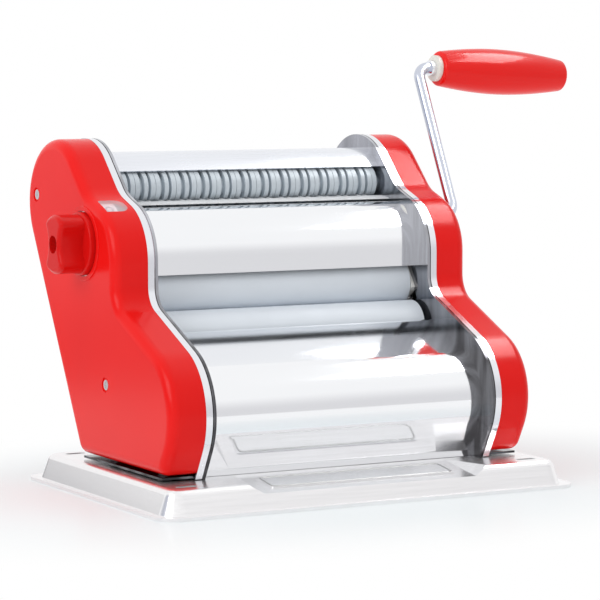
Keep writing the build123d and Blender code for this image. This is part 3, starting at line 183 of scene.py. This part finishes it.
def polished_steel(name, colour, roughness, smear=0.05):
    """Polished sheet: faint wiping smears and a very fine grain along the rollers."""
    finish = Finish(name)
    smears = finish.noise(scale=26.0, detail=4.0, stretch=(0.4, 1.0, 1.0))
    hairs = finish.noise(scale=420.0, detail=2.0, stretch=(0.03, 1.0, 1.0))
    finish.set(
        Base_Color=finish.blend(smears, colour, darker(colour, 0.96)),
        Metallic=1.0,
        Roughness=roughness + smear * smears + 0.02 * hairs,
    )
    finish.bump(hairs, strength=0.012, distance=0.0001)
    return finish.material


def brushed_steel(name, colour, roughness, metallic=1.0, depth=0.06):
    """Satin sheet: brush lines along the rollers and a cloudy sheen."""
    finish = Finish(name)
    lines = finish.noise(scale=520.0, detail=3.0, stretch=(0.04, 1.0, 1.0))
    cloud = finish.noise(scale=18.0, detail=3.0)
    finish.set(
        Base_Color=finish.blend(lines, colour, darker(colour, 0.86)),
        Metallic=metallic,
        Roughness=roughness + 0.10 * cloud + 0.06 * lines,
    )
    finish.bump(lines, strength=depth, distance=0.0002)
    return finish.material


def turned_metal(name, colour, metallic, roughness, pitch, depth):
    """Metal turned on a lathe: fine circular lines, one for each pitch along X."""
    finish = Finish(name)
    lines = (finish.coordinate("X") * (2 * np.pi / pitch)).sine() * 0.5 + 0.5
    cloud = finish.noise(scale=40.0, detail=3.0)
    finish.set(
        Base_Color=finish.blend(cloud, colour, darker(colour, 0.93)),
        Metallic=metallic,
        Roughness=roughness + 0.08 * cloud + 0.04 * lines,
    )
    finish.bump(lines, strength=depth, distance=0.0001)
    return finish.material


def moulded_plain(name, colour, roughness, speckle=0.9, glow=0.0):
    """Matt moulded piece: a slight speckle and a sand-like skin; a glow above 0 makes it give off light of its
    own, a painted light.
    """
    finish = Finish(name)
    grain = finish.noise(scale=240.0, detail=4.0)
    finish.set(
        Base_Color=finish.blend(grain, colour, darker(colour, speckle)),
        Roughness=roughness + 0.1 * grain,
        # emission at the glow strength: painted light where glow is above 0
        Emission_Color=colour,
        Emission_Strength=glow,
    )
    finish.bump(grain, strength=0.08, distance=0.0002)
    return finish.material


def side_plate_steel():
    """Side plate: dark and streaked low down beside the covers, a painted shade, and brighter near its top, a
    painted light.
    """
    painted_shade_up_to = 0.085
    painted_light_over = 0.06
    finish = Finish("side plate steel")
    height = finish.coordinate("Z")
    streaks = finish.noise(scale=90.0, detail=3.0, stretch=(1.0, 1.0, 0.12))
    painted_light_lift = ((height - painted_shade_up_to) * (1 / painted_light_over)).eased()
    # painted shade low down beside the covers and painted light higher up, blended between the dark and light
    # steel colours below, with the steel's own streaks mixed in
    shade = (painted_light_lift * (0.35 + height) + (streaks - 0.38) * 0.9).clamped()
    finish.set(
        Base_Color=finish.blend(shade, (0.05, 0.048, 0.052), (0.70, 0.71, 0.76)),
        Metallic=1.0,
        Roughness=0.10 + 0.08 * streaks,
    )
    return finish.material


def dial_lens():
    """Milky lens over the dial: more than half of the light comes through, with a faint bloom."""
    finish = Finish("dial lens")
    bloom = finish.noise(scale=60.0, detail=3.0)
    finish.set(
        Base_Color=finish.blend(bloom, (0.95, 0.86, 0.89), (0.92, 0.82, 0.86)),
        Roughness=0.10 + 0.05 * bloom,
        Coat_Weight=0.5,
        Alpha=0.36 + 0.06 * bloom,
    )
    return finish.material


GREY_STEEL = (0.50, 0.50, 0.50)
BRIGHT_STEEL = (0.80, 0.80, 0.82)
WHITE = (1.0, 1.0, 1.0)

slot_finishes = {
    "red_cover": moulded_red(
        "red cover plastic",
        (0.90, 0.010, 0.008),
        deep=(0.82, 0.007, 0.006),
        roughness=0.20,
        gloss=0.16,
        clear_coat=0.03,
    ),
    "knob_red": moulded_red(
        "knob plastic",
        (0.72, 0.008, 0.007),
        deep=(0.64, 0.006, 0.005),
        roughness=0.20,
        gloss=0.12,
        clear_coat=0.04,
    ),
    "grip_red": moulded_red(
        "grip plastic",
        (0.90, 0.008, 0.005),
        deep=(0.86, 0.006, 0.004),
        roughness=0.26,
        gloss=0.10,
        clear_coat=0.36,
    ),
    "polished_sheet": polished_steel("polished sheet", (0.92, 0.93, 0.95), roughness=0.05),
    "chrome": polished_steel("chrome", (0.84, 0.85, 0.89), roughness=0.10, smear=0.03),
    "satin_sheet": brushed_steel("satin sheet", (0.97, 0.96, 0.97), roughness=0.15, metallic=0.85),
    "plate_steel": side_plate_steel(),
    "roller_metal": turned_metal(
        "roller metal", (0.77, 0.82, 0.88), metallic=0.03, roughness=0.50, pitch=0.0004, depth=0.02
    ),
    "cutter_metal": turned_metal(
        "cutter metal", (0.60, 0.66, 0.71), metallic=0.15, roughness=0.40, pitch=0.0003, depth=0.03
    ),
    "gear_steel": turned_metal(
        "gear steel", GREY_STEEL, metallic=1.0, roughness=0.35, pitch=0.0005, depth=0.03
    ),
    "screw_steel": turned_metal(
        "screw steel", BRIGHT_STEEL, metallic=1.0, roughness=0.25, pitch=0.0004, depth=0.03
    ),
    "bush_plastic": moulded_plain("bearing plastic", (0.80, 0.79, 0.76), roughness=0.45),
    "comb_white": moulded_plain("comb finish", (0.86, 0.875, 0.89), roughness=0.35, speckle=0.96),
    "rubber": moulded_plain("foot rubber", (0.03, 0.03, 0.03), roughness=0.7),
    "name_plate": brushed_steel("name plate", (0.92, 0.92, 0.93), roughness=0.16, depth=0.03),
    # the dial drum glows: painted light for the drum lying in shade under the lens
    "dial_white": moulded_plain(
        "dial plastic", (0.94, 0.86, 0.89), roughness=0.4, speckle=0.97, glow=0.35
    ),
    "cream_plastic": moulded_plain(
        "cream washer plastic", (0.86, 0.84, 0.77), roughness=0.4, speckle=0.95
    ),
    "dial_window": dial_lens(),
}
dial_ink = moulded_plain("dial ink", (0.12, 0.09, 0.20), roughness=0.5)
top_sheet = brushed_steel("top sheet", (0.86, 0.88, 0.93), roughness=0.18, metallic=0.95)
piece_finishes = {
    # crank rod: its darker, bluish grey base is partly the chrome's own darkness and partly a painted reflection
    # of the blue-grey surroundings
    "crank_rod": polished_steel("rod chrome", (0.62, 0.65, 0.74), roughness=0.20, smear=0.04),
    "front_top_cover": top_sheet,
    "rear_top_cover": top_sheet,
}

slot_of = {entry["node"]: entry["material_slot"] for entry in frame["record"]["subparts"]}
for name, obj in nodes.items():
    obj.data.materials.clear()
    obj.data.materials.append(piece_finishes.get(name, slot_finishes[slot_of[name]]))


# ---- Meshes --------------------------------------------------------------------------------------


def surface(name, grids, material, closed=False):
    """One mesh of grids of points, each an array (rows, columns, 3).

    Quads join neighbouring rows and columns; closed joins each grid's last row to its first.
    """
    points = []
    faces = []
    used = 0
    for grid in grids:
        rows, columns = grid.shape[:2]
        bands = np.arange(rows if closed else rows - 1)
        row, column = np.meshgrid(bands, np.arange(columns - 1), indexing="ij")
        here = (row * columns + column).ravel() + used
        beyond = ((row + 1) % rows * columns + column).ravel() + used
        faces.append(np.stack([here, beyond, beyond + 1, here + 1], 1))
        points.append(grid.reshape(-1, 3))
        used += rows * columns
    mesh = bpy.data.meshes.new(name)
    mesh.from_pydata(np.concatenate(points).tolist(), [], np.concatenate(faces).tolist())
    mesh.polygons.foreach_set("use_smooth", np.full(len(mesh.polygons), True))
    mesh.materials.append(material)
    obj = bpy.data.objects.new(name, mesh)
    bpy.context.scene.collection.objects.link(obj)
    return obj


def fixed_to(obj, body):
    """Lets a new piece move with a body."""
    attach(obj, body)


# ---- Dial numbers --------------------------------------------------------------------------------


def line(start, end):
    """Straight stroke: points at equal steps from start to end."""
    share = np.linspace(0.0, 1.0, 12)[:, None]
    return (1 - share) * np.array(start) + share * np.array(end)


def arc(middle, reach, start, end):
    """Curved stroke: middle + reach * (cos, sin) of angles in degrees from start to end."""
    turn = np.radians(np.linspace(start, end, 40))
    return np.array(middle) + np.array(reach) * np.stack([np.cos(turn), np.sin(turn)], 1)


# strokes of the dial's numbers, in a box one unit tall around (0, 0)
NUMBERS = {
    1: [
        line((-0.14, 0.30), (0.05, 0.5)),
        line((0.05, 0.5), (0.05, -0.5)),
    ],
    2: [
        arc((0, 0.23), (0.26, 0.27), 165, -38),
        line((0.21, 0.07), (-0.28, -0.5)),
        line((-0.28, -0.5), (0.29, -0.5)),
    ],
    3: [
        arc((0, 0.25), (0.24, 0.25), 150, -90),
        arc((0, -0.25), (0.27, 0.25), 90, -150),
    ],
    4: [
        line((0.14, -0.5), (0.14, 0.5)),
        line((0.14, 0.5), (-0.3, -0.18)),
        line((-0.3, -0.18), (0.3, -0.18)),
    ],
    5: [
        line((0.24, 0.5), (-0.2, 0.5)),
        line((-0.2, 0.5), (-0.23, 0.06)),
        arc((0, -0.18), (0.28, 0.32), 132, -150),
    ],
    6: [
        arc((0, -0.2), (0.27, 0.3), 0, 360),
        arc((0.22, -0.12), (0.49, 0.62), 180, 100),
    ],
    7: [
        line((-0.27, 0.5), (0.27, 0.5)),
        line((0.27, 0.5), (-0.08, -0.5)),
    ],
    8: [
        arc((0, 0.26), (0.22, 0.24), 0, 360),
        arc((0, -0.24), (0.27, 0.26), 0, 360),
    ],
    9: [
        arc((0, 0.2), (0.27, 0.3), 0, 360),
        arc((-0.22, 0.12), (0.49, 0.62), 0, -80),
    ],
}
NUMBER_HEIGHT = 0.0085
STROKE = 0.0011  # width of a printed stroke
INK = 0.00005  # thickness of the print


def stroke_ribbon(path):
    """Flat ribbon along a stroke: path * NUMBER_HEIGHT + across * offset, offset within half a STROKE."""
    ahead = np.gradient(path, axis=0)
    ahead /= np.linalg.norm(ahead, axis=1)[:, None]
    across = np.stack([-ahead[:, 1], ahead[:, 0]], 1)
    offset = np.linspace(-0.5, 0.5, 3)[None, :, None] * STROKE
    return path[:, None, :] * NUMBER_HEIGHT + across[:, None, :] * offset


def dial_numbers():
    """Numbers printed round the dial drum, one at each step of the knob; at rest the last one shows.

    A flat ribbon is wrapped round the drum: its width goes along X, and its height h goes round by
    h / radius, so a point is (middle_x + w, axis_y + radius cos(angle), axis_z + radius sin(angle)).
    """
    low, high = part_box("dial_drum")
    middle_x, axis_y, axis_z = ((start + end) / 2 for start, end in zip(low, high))
    radius = (high[2] - low[2]) / 2 + INK
    lens_low, lens_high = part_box("dial_window")
    lens_y = (lens_low[1] + lens_high[1]) / 2
    lens_z = (lens_low[2] + lens_high[2]) / 2
    shown = np.arctan2(lens_z - axis_z, lens_y - axis_y)
    sweep = np.radians(joints["knob_turn"]["range_deg"][1])
    last = max(NUMBERS)
    grids = []
    for number, strokes in NUMBERS.items():
        middle_angle = shown - sweep * (last - number) / (last - 1)
        for path in strokes:
            flat = stroke_ribbon(path)
            angle = middle_angle - flat[..., 1] / radius
            x = middle_x + flat[..., 0]
            y = axis_y + radius * np.cos(angle)
            z = axis_z + radius * np.sin(angle)
            grids.append(np.stack([x, y, z], -1))
    fixed_to(surface("dial_numbers", grids, dial_ink), "adjuster")


dial_numbers()


# ---- Bead round the name plate -------------------------------------------------------------------

BEAD = 0.0006  # half the bead's width
BEAD_RISE = 0.7 * BEAD
BEAD_INSET = 0.0011  # from the plate's edge to the middle of the bead
BEAD_CORNER = 0.0030  # radius of the rectangle's corners
CORNER_POINTS = 13


def name_plate_rim():
    """Raised bead round the name plate.

    A half-oval profile, BEAD cos(a) across and BEAD_RISE sin(a) up, is carried along a rectangle with
    round corners in the plate's top face. The face's directions come from the spread of its points.
    """
    plate = nodes["name_plate"]
    places = np.array([plate.matrix_world @ vertex.co for vertex in plate.data.vertices])
    middle = (places.max(0) + places.min(0)) / 2
    thin, short, long = np.linalg.eigh(np.cov((places - middle).T))[1].T
    along = long * np.sign(long[0])
    back = short * np.sign(short[1])
    up = thin * np.sign(thin[2])
    half_length = np.abs((places - middle) @ along).max() - BEAD_INSET
    half_width = np.abs((places - middle) @ back).max() - BEAD_INSET
    top = ((places - middle) @ up).max()
    turn = np.linspace(0.0, 2 * np.pi, 4 * CORNER_POINTS)
    outward = np.stack([np.cos(turn), np.sin(turn)], 1)
    corner = np.repeat([(1, 1), (-1, 1), (-1, -1), (1, -1)], CORNER_POINTS, axis=0)
    flat = corner * np.array([half_length - BEAD_CORNER, half_width - BEAD_CORNER]) + BEAD_CORNER * outward
    around = np.linspace(0.0, np.pi, 9)[None, :, None]
    across = BEAD * np.cos(around)
    grid = (
        middle
        + (flat[:, :1, None] + outward[:, :1, None] * across) * along
        + (flat[:, 1:, None] + outward[:, 1:, None] * across) * back
        + (top + BEAD_RISE * np.sin(around)) * up
    )
    rim = surface("name_plate_rim", [grid], slot_finishes["gear_steel"], closed=True)
    fixed_to(rim, "frame")


name_plate_rim()


# ---- Camera --------------------------------------------------------------------------------------

CAMERA_PLACE = (-0.89698, -1.63765, 0.28463)
CAMERA_LOOKS = (0.47896, 0.87362, -0.0859)  # direction of view
SENSOR = 36.0  # millimetres, as is the lens
LENS = 167.6454

camera_data = bpy.data.cameras.new("camera")
camera_data.sensor_width = SENSOR
camera_data.lens = LENS
camera_data.clip_end = 30.0
camera = bpy.data.objects.new("camera", camera_data)
bpy.context.scene.collection.objects.link(camera)
camera.location = CAMERA_PLACE
camera.rotation_mode = "QUATERNION"
camera.rotation_quaternion = Vector(CAMERA_LOOKS).to_track_quat("-Z", "Y")
bpy.context.scene.camera = camera
bpy.context.scene.view_settings.view_transform = "Standard"


# ---- Floor ---------------------------------------------------------------------------------------

FLOOR_REACH = 14.0


def floor_finish():
    """Pale floor that keeps the machine's shadow, softened by a painted white glow beneath the machine, and turns
    whiter further away.
    """
    shadow_out_to = 0.12
    fade_over = 0.17
    # plain white glow under the machine: painted light that softens its shadow and the pink light from the red
    # covers
    white_at_middle = 0.25  # share of plain white below the machine
    finish = Finish("floor")
    finish.set(
        # cool tint: partly the floor's own colour, partly painted to cancel the pink light thrown from the red
        # covers
        Base_Color=finish.blend(finish.noise(scale=3.0, detail=2.0), (0.87, 0.93, 0.95), (0.86, 0.92, 0.94)),
        Roughness=0.30,
        Specular_IOR_Level=0.02,
        Emission_Color=WHITE,
        Emission_Strength=0.02,
    )
    squeezed = finish.scaled_place((0.7, 1.0, 1.0))
    away = finish.node("ShaderNodeVectorMath", {"operation": "LENGTH"}, {0: squeezed}, output="Value")
    fade = ((away - shadow_out_to) * (1 / fade_over)).eased()
    share = fade * (1.0 - white_at_middle) + white_at_middle
    finish.mix(share, Wire(finish, finish.shader.outputs[0]), finish.glow(WHITE, 1.0))
    return finish.material


span = np.linspace(-FLOOR_REACH, FLOOR_REACH, 3)
floor_x, floor_y = np.meshgrid(span, span, indexing="ij")
surface("floor", [np.stack([floor_x, floor_y, 0 * floor_x], -1)], floor_finish())


# ---- Room and lamps ------------------------------------------------------------------------------

ROOM_LIGHT = 0.55


def white_room():
    """World that is full white where it is seen, mirrored or seen through, and dimmer as plain light."""
    world = bpy.data.worlds.new("studio")
    world.use_nodes = True
    room = Nodes(world.node_tree)
    camera_ray = room.node("ShaderNodeLightPath", output="Is Camera Ray")
    glossy_ray = room.node("ShaderNodeLightPath", output="Is Glossy Ray")
    through_ray = room.node("ShaderNodeLightPath", output="Is Transmission Ray")
    seen = (camera_ray + glossy_ray + through_ray).clamped()
    background = room.tree.nodes["Background"]
    room.feed(background.inputs["Color"], WHITE)
    room.feed(background.inputs["Strength"], ROOM_LIGHT + (1.0 - ROOM_LIGHT) * seen)
    return world


def panel_light(name, place, target, size, power, plain=True, mirrored=True):
    """Soft lamp panel aimed at a target; it can add plain light, be seen in glossy pieces, or both."""
    data = bpy.data.lights.new(name, "AREA")
    data.shape = "RECTANGLE"
    data.size, data.size_y = size
    data.energy = power
    lamp = bpy.data.objects.new(name, data)
    bpy.context.scene.collection.objects.link(lamp)
    lamp.location = place
    lamp.rotation_mode = "QUATERNION"
    lamp.rotation_quaternion = (Vector(target) - Vector(place)).to_track_quat("-Z", "Y")
    lamp.visible_diffuse = plain
    lamp.visible_glossy = mirrored
    lamp.visible_camera = False


MIDDLE = (0.0, 0.0, 0.12)
bpy.context.scene.world = white_room()
panel_light("left softbox", (-1.9, -0.4, 1.1), MIDDLE, (1.2, 1.2), 13.0)
panel_light("top softbox", (0.1, 0.1, 1.9), MIDDLE, (2.1, 2.1), 13.0, mirrored=False)
panel_light("grip panel", (0.44, -0.06, 0.63), (0.44, -0.06, 0.0), (0.18, 0.46), 2.9, plain=False)


# ---- Cards that the polished sheets mirror -------------------------------------------------------


def card(name, middle, width, low, high, tone, strength):
    """Upright card facing the machine, seen only in mirrors; it fades out to its sides and its top.

    A point is middle + share * width * side, with share from -1/2 to 1/2, at a height from low to
    high. Strength is how much of the card is seen at its middle.
    """
    side_fade = 2.5
    top_fade = 1.25
    side = np.array([-middle[1], middle[0]]) / float(np.hypot(*middle))
    finish = Finish(name)
    glossy = finish.node("ShaderNodeLightPath", output="Is Glossy Ray")
    off_middle = (finish.coordinate("X") * side[0] + finish.coordinate("Y") * side[1]).absolute()
    sideways = ((1.0 - off_middle * (2 / width)) * side_fade).eased()
    upwards = ((high - finish.coordinate("Z")) * (top_fade / (high - low))).eased()
    see_through = finish.node("ShaderNodeBsdfTransparent")
    finish.tree.nodes.remove(finish.shader)
    finish.mix(sideways * upwards * glossy * strength, see_through, finish.glow(tone, 1.0))
    share, height = np.meshgrid(np.linspace(-0.5, 0.5, 9), np.linspace(low, high, 9), indexing="ij")
    x = middle[0] + share * width * side[0]
    y = middle[1] + share * width * side[1]
    surface(name, [np.stack([x, y, height], -1)], finish.material)


card("near left card", (-0.35, 0.55), 0.9, 0.0, 0.15, (0.16, 0.16, 0.18), 0.75)
card("rear left card", (-1.25, 1.9), 2.2, 0.0, 0.32, (0.16, 0.18, 0.25), 0.6)
card("left card", (-2.10, 0.50), 2.6, 0.0, 1.8, (0.20, 0.24, 0.36), 0.9)
card("front card", (0.38, -0.75), 2.2, 0.0, 0.55, (0.48, 0.47, 0.50), 0.45)
